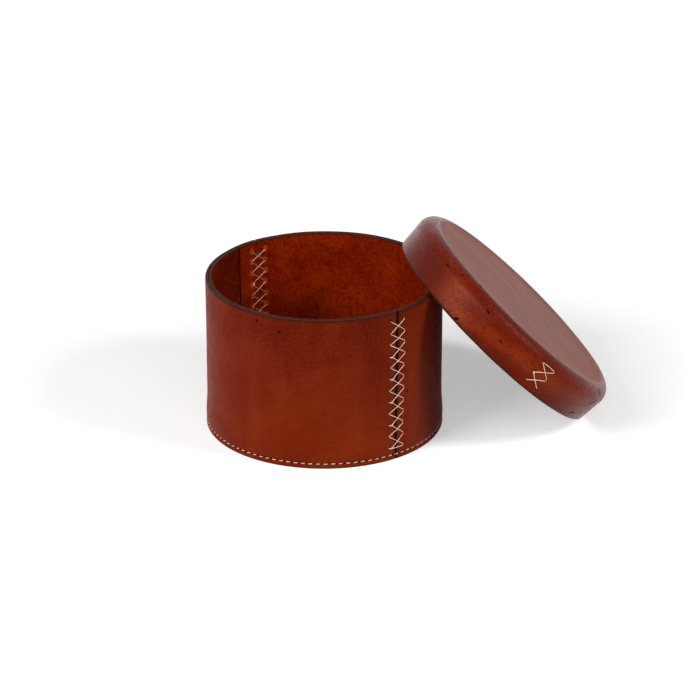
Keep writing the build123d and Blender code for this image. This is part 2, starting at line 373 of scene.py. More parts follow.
# Tan and deep clouds on the wall. Most vary the dye at random. The deep clouds at arc 40 and 56 are painted
# shade where the lid shades the right of the front. The tan strip at arc 16 is partly painted light just
# right of the front seam. The others on the front make it lighter towards the bottom and darker towards the
# top.
wallDyeAndPaintedLight = {                      # arc from the front seam, height, half width, half height, strength
    "tan": [(-75, 22, 60, 26, 0.5), (16, 48, 9, 55, 0.7), (-20, 12, 26, 12, 0.35),
            (150, 30, 60, 30, 0.4)],
    "deep": [(-12, 70, 22, 30, 0.25), (-60, 94, 75, 22, 0.75), (40, 50, 13, 60, 0.6),
             (56, 50, 16, 60, 0.8), (200, 70, 50, 30, 0.3)],
}
# Tan and deep clouds in the lining. The tan cloud at arc 200 is partly painted light on the middle of the
# back. The deep clouds at arc 247 to 285 are partly darker leather left of the joint and partly painted
# shade. The deep cloud at arc 190 makes the back darker towards the bottom.
liningDyeAndPaintedLight = {
    "tan": [(200, 78, 36, 40, 1.0), (300, 60, 50, 40, 0.3)],
    "deep": [(265, 60, 12, 90, 1.0), (285, 60, 25, 90, 0.9), (247, 60, 8, 90, 0.9),
             (330, 50, 60, 60, 0.4), (190, 30, 70, 24, 0.5)],
}


def plySection(depth, thickness):
    # Rounded edges of one wall ply: over the rim from the skin to the back, and under the foot
    edge = leather["edgeRound"]
    outer, inner, top = depth + edge, depth + thickness - edge, wall["height"] - edge
    rim = roundCorner(outer, top, edge, 180, 90)[1:] + roundCorner(inner, top, edge, 90, 0)
    foot = roundCorner(inner, edge, edge, 0, -90)[1:] + roundCorner(outer, edge, edge, -90, -180)
    return rim, foot


def upright(depth, heights):
    # A straight face of a section
    return [(depth, height) for height in heights]


def burnishOf(height):
    # Dyed and burnished dark at the cut edges
    blur = leather["burnishBlur"]
    rim = smooth((height - wall["height"] + leather["burnishRim"]) / blur)
    return np.maximum(rim, smooth((leather["burnishFoot"] - height) / blur))


def wallBand(arcs, section, ends, slits=(), side=0, pucker=0.0, lipHigh=0.0, dyeAndPaintedLight=None):
    # One band of a wall ply along a section of (inset, height). side is 1 for a skin that faces
    # out and -1 for one that faces in.
    insets, heights = np.array(section).T
    sink, values = 0.0, {"slit": 0.0}
    if slits:
        sink, values = slitMarks(slitField(arcs, heights, slits), pucker, lipHigh)
    # The cut edges along the seams are softened and dyed dark, and painted black as shade where they turn
    # into the gap
    gap = np.minimum(np.abs(arcs - ends[0]), np.abs(arcs - ends[1]))
    rounding = wall["seamRound"]
    turn = np.clip(rounding - gap, 0, rounding)
    sink = sink + abs(side) * (rounding - np.sqrt(rounding ** 2 - turn ** 2))
    dark = 0.85 * smooth((wall["seamDark"] - gap) / 0.45)
    values["burnish"] = np.maximum(burnishOf(heights)[:, None], dark)
    # Painted shade: black on the rounded edges in the gap
    values["slit"] = np.maximum(values["slit"], smooth((wall["seamBlack"] - gap) / 0.2))
    for key, clouds in (dyeAndPaintedLight or {}).items():
        values[key] = patchField(arcs, heights, clouds)
    places = wallPoint(arcs[None, :], heights[:, None], insets[:, None] + side * sink)
    skin = np.stack(np.broadcast_arrays(arcs[None, :], insets[:, None], heights[:, None]), -1)
    return arcs, places, skin, values


def seamArcs(slits, ends):
    # Columns of a strip: fine at the holes and round its two ends
    even = gradedSteps(*ends, [slit["arc"] for slit in slits], "roundWall")
    lead = wall["seamRound"] * np.array([0.0, 0.12, 0.35, 0.65, 1.0])
    clear = 1.4 * wall["seamRound"]
    middle = even[(even > ends[0] + clear) & (even < ends[1] - clear)]
    return np.concatenate([ends[0] + lead, middle, ends[1] - lead[::-1]])


def buildPanel(name, start, end, turn):
    # One half of the outer wall, with its slits, puckers and softened seam edges. turn is where
    # the strip has the front seam, for its colour patches, painted light and shade among them.
    edge, top, ends = leather["edgeRound"], wall["height"], (start, end)
    slits, feet = within(wallSlits, ends), within(footSlits(), ends, stitching["margin"])
    dyeAndPaintedLight = {key: [(cloud[0] + turn,) + cloud[1:] for cloud in clouds] for key, clouds in wallDyeAndPaintedLight.items()}
    arcs = seamArcs(slits, ends)
    footArcs = gradedSteps(start, end, [slit["arc"] for slit in feet], "roundFoot")
    upper = gradedSteps(wall["footBand"], top - edge, laceRows, "upWall")
    lower = gradedSteps(edge, wall["footBand"] - wall["footBandGap"], [stitching["height"]], "upFoot")
    rimPart, footPart = plySection(0, leather["outerPly"])
    hidden = np.linspace(top - edge, edge, 9)[1:]
    return buildShell(name, [
        wallBand(footArcs, upright(0, lower), ends, feet, 1, wall["footPucker"], dyeAndPaintedLight=dyeAndPaintedLight),
        wallBand(arcs, upright(0, upper), ends, slits, 1, wall["lacePucker"], dyeAndPaintedLight=dyeAndPaintedLight),
        wallBand(arcs, rimPart, ends),
        wallBand(arcs, upright(leather["outerPly"], hidden), ends),
        wallBand(arcs, footPart, ends),
    ])


def buildLining(name):
    # One strip, whose two ends meet at the joint line left of the back lacing
    edge, top = leather["edgeRound"], wall["height"]
    joint = math.radians(wall["jointAngle"] - wall["seamAngle"]) * wall["rimRadius"]
    ends = (joint + wall["jointGap"] / 2, joint - wall["jointGap"] / 2 + wallRound)
    slits = within(wallSlits, ends)
    arcs = seamArcs(slits, ends)
    seen = gradedSteps(edge, top - edge, laceRows, "upWall")[::-1]
    rimPart, footPart = plySection(liningDepth, leather["liningPly"])
    # The face glued to the wall shows only through the seams, so it is painted black there as shade
    hidden = wallBand(arcs, upright(liningDepth, np.linspace(edge, top - edge, 9)), ends)
    hidden[3]["slit"] = 1.0
    return buildShell(name, [
        hidden,
        wallBand(arcs, rimPart[:-1], ends),
        wallBand(arcs, upright(wallTotal, seen), ends, slits, -1, lipHigh=wall["lip"], dyeAndPaintedLight=liningDyeAndPaintedLight),
        wallBand(arcs, footPart[:-1], ends),
    ])


halfRound = wallRound / 2
halfGap = wall["seamGap"] / 2
outerWallBack = buildPanel("outerWallBack", halfGap, halfRound - halfGap, 0)
outerWallFront = buildPanel("outerWallFront", halfRound + halfGap, wallRound - halfGap, wallRound)
wallLining = buildLining("wallLining")
print("wall built", len(outerWallFront.data.vertices), len(wallLining.data.vertices))


# Floor of the box: a disc with a turned-down flange

pan = {
    "floorHeight": 7.4,
    "bend": 3.0,
    "waver": 0.18,
    "waverRun": 8.0,             # the floor wanders from this far inside the bend
    "burnish": 1.2,              # dark edge of the flange
    "burnishBlur": 0.7,
    "columns": 240,
}


def poleBand(height, put=np.asarray):
    # The middle of a disc, where its last ring closes; put moves it to its place
    local = np.array([[[0.0, 0.0, height]]])
    return np.array([0.0]), put(local), local, {"crown": 1.0}


def buildPan(name):
    thick, edge = leather["basePly"], leather["edgeRound"]
    flange = footRadius - wallTotal - leather["glueLine"]
    bend, level = pan["bend"], pan["floorHeight"]
    turn, low = flange - bend, level - bend
    outside = roundCorner(flange - edge, edge, edge, -90, 0, 7)
    outside += upright(flange, np.linspace(edge, low, 9)[1:-1])
    outside += roundCorner(turn, low, bend, 0, 90, 7)
    outside += [(radius, level) for radius in np.linspace(turn, 0, 30)[1:-1]]
    inside = [(radius, level - thick) for radius in np.linspace(0, turn, 14)[1:]]
    inside += roundCorner(turn, low, bend - thick, 90, 0, 7)[1:]
    inside += upright(flange - thick, np.linspace(low, edge, 8)[1:-1])
    inside += roundCorner(flange - thick + edge, edge, edge, 180, 270, 7)
    angles = np.linspace(0, 2 * math.pi, pan["columns"], endpoint=False)

    def band(section):
        radius, height = np.array(section)[:, :, None].transpose(1, 0, 2)
        lift = pan["waver"] * panWave(angles, radius) * smooth((turn - radius) / pan["waverRun"])
        reach = radius - stitchPull(height) * smooth(radius - turn)
        places = np.stack(np.broadcast_arrays(reach * np.cos(angles), reach * np.sin(angles),
                                              height + lift), -1)
        return angles, places, places, {"burnish": smooth((pan["burnish"] - height) / pan["burnishBlur"])}

    return buildShell(name, [band(outside), poleBand(level), poleBand(level - thick), band(inside)],
                      turn=2 * math.pi)


basePan = buildPan("basePan")
print("floor built")


# Lid, in its own frame: rim at height 0, top up, +X towards its low end

lid = {
    "height": 26.8,
    "clearance": 1.15,           # to the rim of the box, with the lid on
    "lean": math.radians(5.0),   # how far the skirt leans outwards
    "shoulder": 9.0,
    "dish": 0.6,
    "dishRun": 12.0,
    "laceAngle": -82.9,          # middle of the lacing, degrees from the low end
    "laceWidth": 10.9,
    "lacePitch": 7.65,
    "laceMargin": 5.1,
    "laceRows": 3,
    "laceStray": 0.8,
    "lacePucker": 0.2,
    "leanAzimuth": math.radians(7.25),
    "leanHalfWidth": 41.4,       # half the distance between the two places that bear on the rim
    "leanSeat": 0.25,
    "waver": 0.28,               # how far the lid wanders, away from its middle and its rim
    "waverMiddle": 30.0,
    "waverRim": 12.0,
    "rimWaver": 0.1,             # how far the rim rises and falls, and how high up this reaches
    "rimRun": 10.0,
    "ragged": 0.3,               # rough stretch of the rim below the lacing
    "raggedAt": 4.0,
    "raggedWide": 16.0,
    "raggedRun": 3.0,
    "burnish": 1.9,              # dark edge of the rim
    "burnishBlur": 0.8,
    "crownRun": 3.0,             # where the painted sheen tone and the evener grain and gloss of the top begin, round the crest
    "crease": 0.16,              # fine crease inside the crest
    "creaseAt": 2.3,             # how far inside the crest it runs
    "creaseWander": 0.5,
    "creaseWide": 0.25,
    "rimTop": 1.0,               # where the skirt starts above the rounded rim
    "poleGap": 1.5,              # the last ring stops short of the axis
}
lidBore = wall["rimRadius"] + lid["clearance"]
lidRimRadius = lidBore + wallTotal / math.cos(lid["lean"])
shoulderHeight = lid["height"] - lid["shoulder"]
shoulderRadius = (lidRimRadius + shoulderHeight * math.tan(lid["lean"])
                  - lid["shoulder"] / math.cos(lid["lean"]))
skirtLength = (shoulderHeight - lid["shoulder"] * math.sin(lid["lean"])) / math.cos(lid["lean"])
shoulderTurn = math.pi / 2 + lid["lean"]
crestLength = skirtLength + lid["shoulder"] * shoulderTurn
lidTop = crestLength + shoulderRadius          # nearly the axis
dishArc = (lid["dishRun"] ** 2 + lid["dish"] ** 2) / (4 * lid["dish"])
dishTurn = math.asin(lid["dishRun"] / 2 / dishArc)
lidLegs = ((skirtLength, 0), (lid["shoulder"] * shoulderTurn, shoulderTurn),
           (dishArc * dishTurn, dishTurn), (dishArc * dishTurn, -dishTurn), (shoulderRadius, 0))


def lidMatrix():
    # The rounded rim stands on the ground and the bore crosses the rim of the box at two points
    lean, edge = lid["lean"], leather["edgeRound"]
    boreReach = math.sqrt(lidBore ** 2 - lid["leanHalfWidth"] ** 2)
    rimReach = math.sqrt(wall["rimRadius"] ** 2 - lid["leanHalfWidth"] ** 2)
    roundCentre = lidRimRadius - edge / math.tan((math.pi / 2 - lean) / 2)
    reach = roundCentre + boreReach
    tilt = math.asin((wall["height"] - edge) / math.hypot(reach, edge)) + math.atan2(edge, reach)
    out = rimReach + boreReach * math.cos(tilt) - lid["leanSeat"]
    up = roundCentre * math.sin(tilt) - edge * math.cos(tilt) + edge
    turn = Matrix.Rotation(lid["leanAzimuth"], 4, "Z")
    return turn @ Matrix.Translation((out, 0, up)) @ Matrix.Rotation(tilt, 4, "Y")


lidFrame = lidMatrix()
lidTurn = np.array(lidFrame.to_3x3())
lidOrigin = np.array(lidFrame.translation)


def lidLine(along):
    # Outside of the lid's section at a length from the rim: radius, height and heading. Each leg
    # is taken by its chord, whose direction is the mean of the headings at its ends.
    radius, height, heading, done = lidRimRadius, 0.0, math.pi / 2 - lid["lean"], 0.0
    for length, turn in lidLegs:
        part = np.clip(along - done, 0, length)
        turned = part * turn / length
        chord = part * np.sinc(turned / 2 / math.pi)
        radius = radius + chord * np.cos(heading + turned / 2)
        height = height + chord * np.sin(heading + turned / 2)
        heading, done = heading + turned, done + length
    return radius, height, heading


def lidAngle(across):
    return math.radians(lid["laceAngle"]) + across / lidRimRadius


def lidArc(angle):
    # Place round the rim of an angle in degrees from the low end
    return math.radians(angle - lid["laceAngle"]) * lidRimRadius


def lidLocal(across, along, depth):
    # A place in the lid, in its own frame; across runs round the rim from the middle of the lacing
    across, along, depth = np.broadcast_arrays(across, along, depth)
    radius, height, heading = lidLine(along)
    angle = lidAngle(across)
    fade = smooth(radius / lid["waverMiddle"]) * smooth(along / lid["waverRim"])
    depth = depth - lid["waver"] * lidWave(angle, along) * fade
    rise = lid["rimWaver"] * lidRimWave(angle) * smooth(1 - along / lid["rimRun"])
    rough = bell(across - lid["raggedAt"], lid["raggedWide"]) * smooth(1 - along / lid["raggedRun"])
    rise = rise + lid["ragged"] * np.maximum(raggedWave(angle), -0.2) * rough
    radius, height = radius - depth * np.sin(heading), height + depth * np.cos(heading) + rise
    return np.stack([radius * np.cos(angle), radius * np.sin(angle), height], -1)


def placed(local):
    return local @ lidTurn.T + lidOrigin


def lidPoint(across, along, depth):
    return placed(lidLocal(across, along, depth))


lidRowPlaces = [lid["laceMargin"] + row * lid["lacePitch"] for row in range(lid["laceRows"])]
lidHoles = lacingHoles(23, 0.0, lidRowPlaces, lid["laceWidth"], lid["laceStray"])
# Tan and deep clouds on the lid. The tan cloud at -138 is partly a painted highlight. The deep clouds 27 to
# 28 from the rim are a painted dark reflection just below the crest. The others give an orange streak across
# the skirt and darker and paler places.
lidDyeAndPaintedLight = {                       # degrees from the low end, length from the rim, then as for the wall
    "tan": [(-128, 5, 10, 5, 0.7), (-112, 10, 14, 5, 0.7), (-138, 14, 9, 9, 0.8),
            (-96, 13, 12, 6, 0.8), (-78, 14, 13, 7, 0.9), (-60, 16, 14, 7, 0.6),
            (-150, 24, 12, 4, 0.5), (60, 12, 40, 8, 0.5), (150, 10, 40, 8, 0.5)],
    "deep": [(-160, 14, 20, 14, 0.9), (-140, 27, 30, 3, 0.6), (-105, 28, 30, 4, 0.7),
             (-70, 27, 25, 4, 0.5), (-118, 2, 16, 4, 0.5), (-100, 4, 14, 5, 0.8),
             (-88, 24, 8, 5, 0.5)],
}


def rimCorner(depth, facing):
    # Rounded corner of a lid ply at the rim, from the rim plane to the skin or back to it
    edge, tilt = leather["edgeRound"], facing * lid["lean"]
    centre = lidRimRadius - depth / math.cos(tilt) - facing * edge / math.tan((math.pi / 2 - tilt) / 2)
    lean = math.degrees(lid["lean"])
    return roundCorner(centre, edge, edge, *((-90, -lean) if facing > 0 else (180 - lean, 270)))


def buildLidPly(name, depth, thickness, outsideSeen):
    # One moulded ply of the lid as a closed shell
    slits = slitsOf(lidHoles)
    half = math.pi * lidRimRadius
    arcs = gradedSteps(-half, half, [slit["arc"] for slit in slits], "roundLid")[:-1]
    skirt = gradedSteps(lid["rimTop"], skirtLength + 4, lidRowPlaces, "upSkirt")
    crest = gradedSteps(crestLength, crestLength + 5, [crestLength + lid["creaseAt"]], "crest")[1:]
    end = lidTop - lid["poleGap"]
    fine = np.concatenate([skirt, np.linspace(skirtLength + 4.6, crestLength, 16), crest,
                           np.linspace(crest[-1] + 0.8, end, 40)])
    coarse = np.concatenate([np.linspace(lid["rimTop"], skirtLength, 6),
                             np.linspace(skirtLength, end, 26)[1:]])
    outside, inside = (fine, coarse[::-1]) if outsideSeen else (coarse, fine[::-1])
    angle = lidAngle(arcs)

    def skin(stations, at, side, seen):
        sink, values = 0.0, {}
        up = stations[:, None]
        burnish = smooth((lid["burnish"] - up) / lid["burnishBlur"])
        if seen:
            sink, values = slitMarks(slitField(arcs, stations, slits), lid["lacePucker"])
        if seen and side > 0:
            # The crease is strongest on the side away from the low end
            strong = smooth(0.4 - 1.2 * np.cos(angle - 0.2))
            wander = lid["creaseWander"] * creaseWave(angle)
            groove = strong * bell(up - crestLength - lid["creaseAt"] - wander, lid["creaseWide"])
            sink = sink + lid["crease"] * groove
            # Painted shade: the crease is darkened with the edge tone
            burnish = np.maximum(burnish, 0.7 * groove)
            for key, clouds in lidDyeAndPaintedLight.items():
                values[key] = patchField(arcs, stations, [(lidArc(cloud[0]),) + cloud[1:] for cloud in clouds])
        values["burnish"] = burnish
        values["crown"] = smooth((up - crestLength + 1) / lid["crownRun"])
        local = lidLocal(arcs[None, :], up, at + side * sink)
        return arcs, placed(local), local, values

    def corner(at, facing):
        radius, height = np.array(rimCorner(at, facing)).T[:, :, None]
        rise = lidLocal(arcs, 0.0, 0.0)[:, 2]
        local = np.stack([radius * np.cos(angle), radius * np.sin(angle), height + rise], -1)
        return arcs, placed(local), local, {"burnish": 1.0}

    level, back = lid["height"] - lid["dish"] - depth, depth + thickness
    return buildShell(name, [
        corner(depth, 1), skin(outside, depth, 1, outsideSeen), poleBand(level, placed),
        poleBand(level - thickness, placed), skin(inside, back, -1, not outsideSeen),
        corner(back, -1),
    ], turn=2 * half)


lidCap = buildLidPly("lidCap", 0.0, leather["outerPly"], True)
lidLining = buildLidPly("lidLining", liningDepth, leather["liningPly"], False)
print("lid built", len(lidCap.data.vertices))


# Thread: cross lacing and saddle stitch

thread = {
    "sides": 10,
    "plies": 3,                  # strands twisted together
    "plyHigh": 0.08,             # share of the radius that the plies stand out
    "twist": 3.6,                # length of one turn
    "step": 0.26,
    "lay": 0.02,                 # air under the thread
    "dive": 0.45,                # how deep a strand is at the middle of its hole
    "diveRun": 0.85,
    "overHigh": 1.75,            # rise of a strand over another, in radii, and its half length
    "overWide": 1.15,
    "tailHigh": 0.9,             # rise of a strand that shares its way with another, in radii
    "sunk": 0.22,                # the lower strands inside are pressed into the lining
    "sunkRun": 1.2,
    "strayAcross": 0.10,         # how far the crossings stray
    "strayUp": 0.22,
    "underUp": 0.25,             # the lower strand crosses a little higher
    "darkeningWide": 0.5,             # reach of the darkening round a hole
    "knotThread": 0.42,          # radius in a knot, as a share of the thread
    "knotStep": 0.15,
    "knotSides": 8,
}


def cutCorners(points, rounds=2):
    for _ in range(rounds):
        before, after = points[:-1], points[1:]
        near, far = 0.75 * before + 0.25 * after, 0.25 * before + 0.75 * after
        middle = np.stack([near, far], 1).reshape(-1, points.shape[1])
        points = np.concatenate([points[:1], middle, points[-1:]])
    return points


def evenSteps(points, step):
    lengths = np.linalg.norm(np.diff(points[:, :3], axis=0), axis=1)
    lengths = np.concatenate([[0], np.cumsum(lengths)])
    at = np.linspace(0, lengths[-1], max(4, int(lengths[-1] / step)) + 1)
    return np.stack([np.interp(at, lengths, column) for column in points.T], -1), at


def tubeAlong(points, radius, phase=0.0, step=thread["step"], sides=thread["sides"]):
    # A twisted thread along a line of (x, y, z, darkening): vertices, faces and darkening of a closed tube
    points, at = evenSteps(points, step)
    points, darkening = points[:, :3], points[:, 3]
    ahead = np.gradient(points, axis=0)
    ahead /= np.linalg.norm(ahead, axis=1)[:, None]
    normal = np.cross(ahead[0], (0.31, 0.52, 0.79))
    turn = np.linspace(0, 2 * math.pi, sides, endpoint=False)
    rings = []
    for direction, point, length in zip(ahead, points, at):
        normal = normal - direction * (normal @ direction)
        normal /= np.linalg.norm(normal)
        second = np.cross(direction, normal)
        twist = 2 * math.pi * length / thread["twist"] + phase
        reach = radius * (1 + thread["plyHigh"] * np.cos(thread["plies"] * (turn - twist)))
        rings.append(point + reach[:, None] * (np.cos(turn)[:, None] * normal
                                               + np.sin(turn)[:, None] * second))
    count = len(points)
    faces = [(ring * sides + k, ring * sides + (k + 1) % sides,
              (ring + 1) * sides + (k + 1) % sides, (ring + 1) * sides + k)
             for ring in range(count - 1) for k in range(sides)]
    faces.append(tuple(range(sides))[::-1])
    faces.append(tuple((count - 1) * sides + k for k in range(sides)))
    return np.concatenate(rings), faces, np.repeat(darkening, sides)


def joinTubes(name, tubes):
    points, faces, darkening, used = [], [], [], 0
    for tubePoints, tubeFaces, tubeDarkening in tubes:
        points.append(tubePoints)
        faces += [tuple(v + used for v in face) for face in tubeFaces]
        darkening.append(tubeDarkening)
        used += len(tubePoints)
    return makeMesh(name, np.concatenate(points), faces, {"darkening": np.concatenate(darkening)},
                    sharpAngle=75)


def strand(place, start, end, tails, outside, over, barely, draw):
    # One strand on the leather: out of a hole, perhaps along a shared tail, over or under the
    # crossing and down into the next hole. Gives points (x, y, z, darkening).
    radius = lacing["thread"] / 2
    crossing = (start + end) / 2 + draw.normal(0, 1, 2) * (thread["strayAcross"], thread["strayUp"])
    if not over:
        crossing = crossing + (0, thread["underUp"])
    corners = [start, crossing, end]
    if tails[1]:
        corners.insert(2, end + (lacing["tail"], tails[1]))
    if tails[0]:
        corners.insert(1, start + (lacing["tail"], tails[0]))
    flat, at = evenSteps(cutCorners(np.array(corners)), 0.25)
    fromEnd = np.minimum(at, at[-1] - at)
    lay = radius + thread["lay"]
    height = (lay + thread["dive"]) * smooth(fromEnd / thread["diveRun"]) - thread["dive"]
    crossAt = at[np.argmin(np.linalg.norm(flat - crossing, axis=1))]
    if over:
        height += thread["overHigh"] * radius * bell(at - crossAt, thread["overWide"])
    for tail, along in ((tails[0], at), (tails[1], at[-1] - at)):
        if tail and over:
            height += (thread["tailHigh"] * radius * smooth((along - 0.5) / 0.8)
                       * smooth((lacing["tail"] - along) / 1.2 + 1))
    if barely:
        height -= thread["sunk"] * smooth(fromEnd / thread["sunkRun"])
    depth = -height if outside else wallTotal + height
    # The thread is darker near the holes and on the inside strands, most on the lower ones
    darkening = (0.0 if outside else 0.72 if barely else 0.2) + 0.55 * bell(fromEnd, thread["darkeningWide"])
    points = place(flat[:, 0], flat[:, 1], depth)
    return np.column_stack([points, np.clip(darkening, 0, 1)])


def laceLine(place, holes, rows, tailRows, seed):
    # One thread laced through all the holes, outside and inside by turns
    draw = np.random.default_rng(seed)
    last = rows - 1
    trip = list(range(last, 0, -1)) + list(range(last + 1))
    order = [(row, -1 if row % 2 == 0 else 1) for row in trip]
    order += [(row, -side) for row, side in order]
    outward = np.sign(holes[last, 1][1] - holes[0, 1][1])      # which way the last row lies
    pieces = []
    for index, ((row, side), (nextRow, nextSide)) in enumerate(zip(order, order[1:])):
        outside = index % 2 == 0
        across = nextRow == row
        toward = outward if across else np.sign(nextRow - row) * outward
        ends, tails = [], []
        for hole, way in (((row, side), toward), ((nextRow, nextSide), outward if across else -toward)):
            shared = outside and hole[1] < 0 and hole[0] in tailRows
            share = lacing["share"] * (lacing["tailShare"] if shared else 1.0)
            ends.append(np.array(holes[hole]) + (0, share * way))
            tails.append(way * lacing["tailOff"] if shared else 0.0)
        rising = (nextRow - row) * side > 0
        over = rising if outside else not rising and not across
        pieces.append(strand(place, *ends, tails, outside, over, not outside and not over, draw))
        # Through the leather to the next strand
        through = place(*ends[1], wallTotal * np.array([0.3, 0.5, 0.7]))
        if not outside:
            through = through[::-1]
        pieces.append(np.column_stack([through, np.full(3, 0.6)]))
    return cutCorners(np.concatenate(pieces[:-1]), 1)


def knot(place, across, along, depth, sense, size):
    # A small overhand knot on the skin, with its axes taken from the skin there
    centre = place(across, along, depth)
    right, up = place(across + 1, along, depth) - centre, place(across, along + 1, depth) - centre
    right, up = right / np.linalg.norm(right), up / np.linalg.norm(up)
    turn = np.linspace(0, 2 * math.pi, 60)[:, None]
    line = (np.sin(turn) + 2 * np.sin(2 * turn)) * right + (np.cos(turn) - 2 * np.cos(2 * turn)) * up
    line = line - 0.8 * np.sin(3 * turn) * sense * np.cross(right, up)
    line = np.column_stack([centre + size / 3 * line, np.zeros(len(line))])
    return tubeAlong(line, lacing["thread"] * thread["knotThread"], step=thread["knotStep"],
                     sides=thread["knotSides"])


def lacingPiece(name, place, holes, rows, tailRows, seed, knots=()):
    tubes = [tubeAlong(laceLine(place, holes, rows, tailRows, seed), lacing["thread"] / 2)]
    return joinTubes(name, tubes + [knot(place, *where) for where in knots])


backKnot = (backHoles[3, 1][0] - 1.2, backHoles[3, 1][1], wallTotal + 0.45, -1, 0.8)
lidKnot = (*lidHoles[1, -1], -0.4, 1, 0.7)
frontSeamLacing = lacingPiece("frontSeamLacing", wallPoint, frontHoles, lacing["rows"],
                              (3, 5, 7, 9, 11), 31)
backSeamLacing = lacingPiece("backSeamLacing", wallPoint, backHoles, lacing["rows"], (4, 8, 11), 32,
                             [backKnot])
lidLacing = lacingPiece("lidLacing", lidPoint, lidHoles, lid["laceRows"], (), 33, [lidKnot])


def footStitches(name):
    # 100 stitches outside and 100 inside, each from one slit to the next
    draw = np.random.default_rng(34)
    radius, dive = stitching["thread"] / 2, stitching["dive"]
    arcs = sorted(slit["arc"] for slit in footSlits())
    flange = wallTotal + leather["glueLine"] + leather["basePly"]
    inset = stitching["slitHalf"] * 0.8
    tubes = []
    for arc, nextArc in zip(arcs, arcs[1:] + [arcs[0] + wallRound]):
        for outside in (True, False):
            rise = (stitching["rise"] + draw.normal(0, stitching["jitter"])) * (1 if outside else -1)
            level = stitching["height"] + draw.normal(0, stitching["jitter"])
            ends = np.array([[arc + inset, level - rise], [nextArc - inset, level + rise]])
            flat, at = evenSteps(ends, 0.3)
            fromEnd = np.minimum(at, at[-1] - at)
            height = (radius * stitching["lay"] + dive) * smooth(fromEnd / 0.9) ** 0.6 - dive
            depth = -height if outside else flange + height
            # The stitches are darker towards their ends
            line = np.column_stack([wallPoint(flat[:, 0], flat[:, 1], depth), 0.9 * bell(fromEnd, 0.45)])
            tubes.append(tubeAlong(line, radius, draw.uniform(0, 6), step=0.3, sides=9))
    return joinTubes(name, tubes)


baseStitching = footStitches("baseStitching")
print("thread built", len(frontSeamLacing.data.vertices), len(baseStitching.data.vertices))


# Materials

def colourOf(red, green, blue):
    # A colour as seen on a screen, 0 to 255, in the linear values that the shader takes
    def linear(value):
        value = value / 255
        return value / 12.92 if value <= 0.04045 else ((value + 0.055) / 1.055) ** 2.4

    return (linear(red), linear(green), linear(blue), 1.0)


class Shader:
    # The node tree of a material or the world, with short ways to add and join nodes
    def __init__(self, owner, output="ShaderNodeOutputMaterial"):
        owner.use_nodes = True
        self.owner, self.tree = owner, owner.node_tree
        self.tree.nodes.clear()
        self.output = self.add(output)

    def add(self, kind, inputs=None, **settings):
        node = self.tree.nodes.new(kind)
        for key, value in settings.items():
            setattr(node, key, value)
        for key, value in (inputs or {}).items():
            self.plug(node.inputs[key], value)
        return node

    def plug(self, socket, value):
        if isinstance(value, bpy.types.NodeSocket):
            self.tree.links.new(value, socket)
        else:
            socket.default_value = value

    def mix(self, share, first, second, kind="RGBA"):
        # Mix has its colours at inputs 6 and 7, and its numbers at 2 and 3
        at, out = (6, 2) if kind == "RGBA" else (2, 0)
        node = self.add("ShaderNodeMix", data_type=kind)
        for number, value in ((0, share), (at, first), (at + 1, second)):
            self.plug(node.inputs[number], value)
        return node.outputs[out]

    def maths(self, operation, first, second=0.0, clamp=False):
        return self.add("ShaderNodeMath", {0: first, 1: second}, operation=operation,
                        use_clamp=clamp).outputs[0]

    def times(self, first, *others):
        for value in others:
            first = self.maths("MULTIPLY", first, value)
        return first

    def plus(self, first, second):
        return self.maths("ADD", first, second)

    def over(self, colour, tone, *shares):
        # The tone laid over the colour, as strongly as all the shares together say
        return self.mix(self.times(*shares), colour, tone)

    def between(self, value, low, high, lowOut=0.0, highOut=1.0):
        inputs = dict(enumerate((value, low, high, lowOut, highOut)))
        return self.add("ShaderNodeMapRange", inputs, interpolation_type="SMOOTHSTEP").outputs[0]

    def noise(self, place, scale, detail=3.0, rough=0.55, warp=0.0, output=0):
        return self.add("ShaderNodeTexNoise", {
            "Vector": place, "Scale": scale, "Detail": detail, "Roughness": rough,
            "Distortion": warp}).outputs[output]

    def stretched(self, place, scale):
        return self.add("ShaderNodeMapping", {"Vector": place, "Scale": scale}).outputs[0]

    def attribute(self, name, output="Fac"):
        return self.add("ShaderNodeAttribute", attribute_name=name).outputs[output]

    def vector(self, operation, first, second, output="Vector"):
        inputs = {0: first, "Scale" if operation == "SCALE" else 1: second}
        return self.add("ShaderNodeVectorMath", inputs, operation=operation).outputs[output]

    def nicks(self, place, lines, look):
        # Short dark nicks in the leather: (one end, other end, half width), with ragged edges
        ragged = self.noise(place, look["raggedScale"], 2.0, 0.5, output="Color")
        shove = self.vector("SUBTRACT", ragged, (0.5, 0.5, 0.5))
        place = self.vector("ADD", place, self.vector("SCALE", shove, look["ragged"] * mm))
        total = 0.0
        for start, end, half in lines:
            start, end, half = Vector(start) * mm, Vector(end) * mm, half * mm
            along = end - start
            off = self.vector("SUBTRACT", place, start)
            share = self.maths("DIVIDE", self.vector("DOT_PRODUCT", off, along, "Value"),
                               along.length_squared, clamp=True)
            away = self.vector("DISTANCE", off, self.vector("SCALE", along, share), "Value")
            total = self.maths("MAXIMUM", total, self.between(away, 0.5 * half, 1.2 * half, 1.0, 0.0))
        return total

    def finish(self, surface):
        self.tree.links.new(surface.outputs[0], self.output.inputs["Surface"])
        return self.owner


